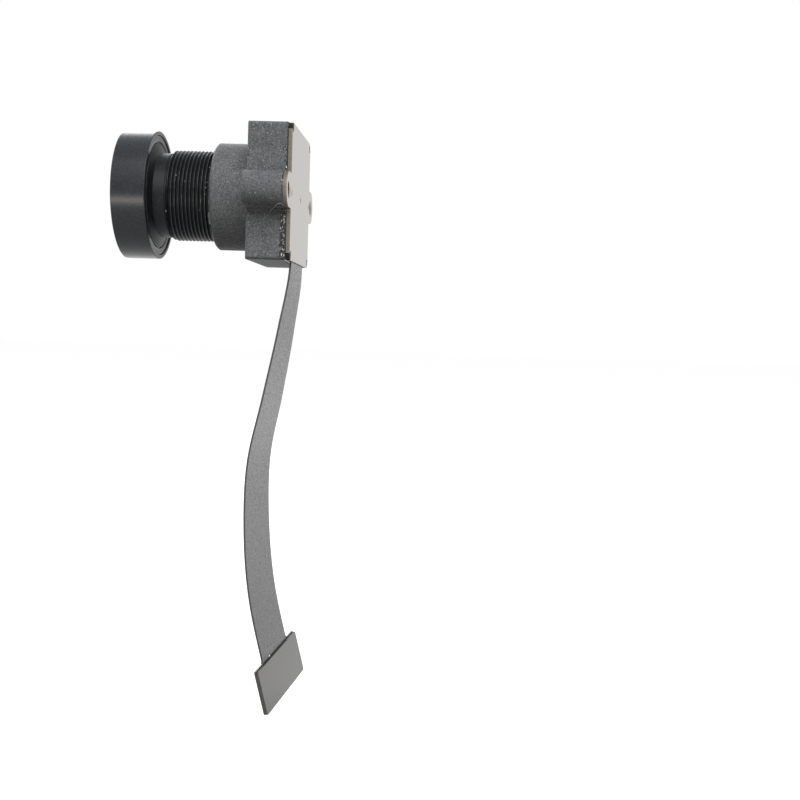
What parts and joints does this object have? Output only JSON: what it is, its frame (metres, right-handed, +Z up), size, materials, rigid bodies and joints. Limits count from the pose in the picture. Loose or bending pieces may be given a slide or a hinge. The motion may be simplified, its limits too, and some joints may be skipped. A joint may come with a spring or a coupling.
{
  "type": "camera module",
  "caption": "Small board camera: wide lens in a screwed barrel, moulded holder with screw ears, steel back plate and a turning flexible tail that ends in a contact tongue.",
  "frame": {"origin": "on the lens axis, on the outer face of the back plate, midway between the two ear holes", "axes": "+Z up, with the tail hanging towards -Z; +Y out of the rear plate, so the lens looks along -Y; +X along the row of ear holes"},
  "size_m": [0.0264, 0.0246, 0.0767],
  "materials": {
    "holder_plastic": "matt, glass-filled, with a faint mottle",
    "black_anodising": "black anodised, satin",
    "optical_glass": "polished and coated",
    "filter_glass": "polished, with a faint cyan tint",
    "plate_steel": "rolled, slightly warm",
    "circuit_film": "black cover film, semi-matt",
    "stiffener_sheet": "dark sheet, semi-matt",
    "contact_gold": "thin gold plating",
    "black_adhesive": "cured, glossy",
    "grey_adhesive": "cured, dull",
    "sensor_package": "dark ceramic look",
    "chip_plastic": "moulded, matt",
    "capacitor_ceramic": "fired ceramic, matt",
    "resistor_ceramic": "glazed ceramic"
  },
  "bodies": {
    "root": {"lens_holder": "holder_plastic", "seam_glue": "black_adhesive", "back_plate": "plate_steel", "flex_circuit": "circuit_film", "tongue_stiffener": "stiffener_sheet", "contact_fingers": "contact_gold", "image_sensor": "sensor_package", "sensor_cover_glass": "optical_glass", "voltage_regulators": "chip_plastic", "memory_chip": "chip_plastic", "decoupling_capacitors": "capacitor_ceramic", "resistors": "resistor_ceramic", "ir_cut_filter": "filter_glass", "lens_barrel": "black_anodising", "front_ring": "black_anodising", "front_element": "optical_glass", "second_element": "optical_glass", "third_element": "optical_glass", "crown_element": "optical_glass", "flint_element": "optical_glass", "rear_element": "optical_glass", "aperture_stop": "black_anodising", "stack_retainer": "black_anodising", "locking_dabs": "grey_adhesive"}
  },
  "joints": []
}
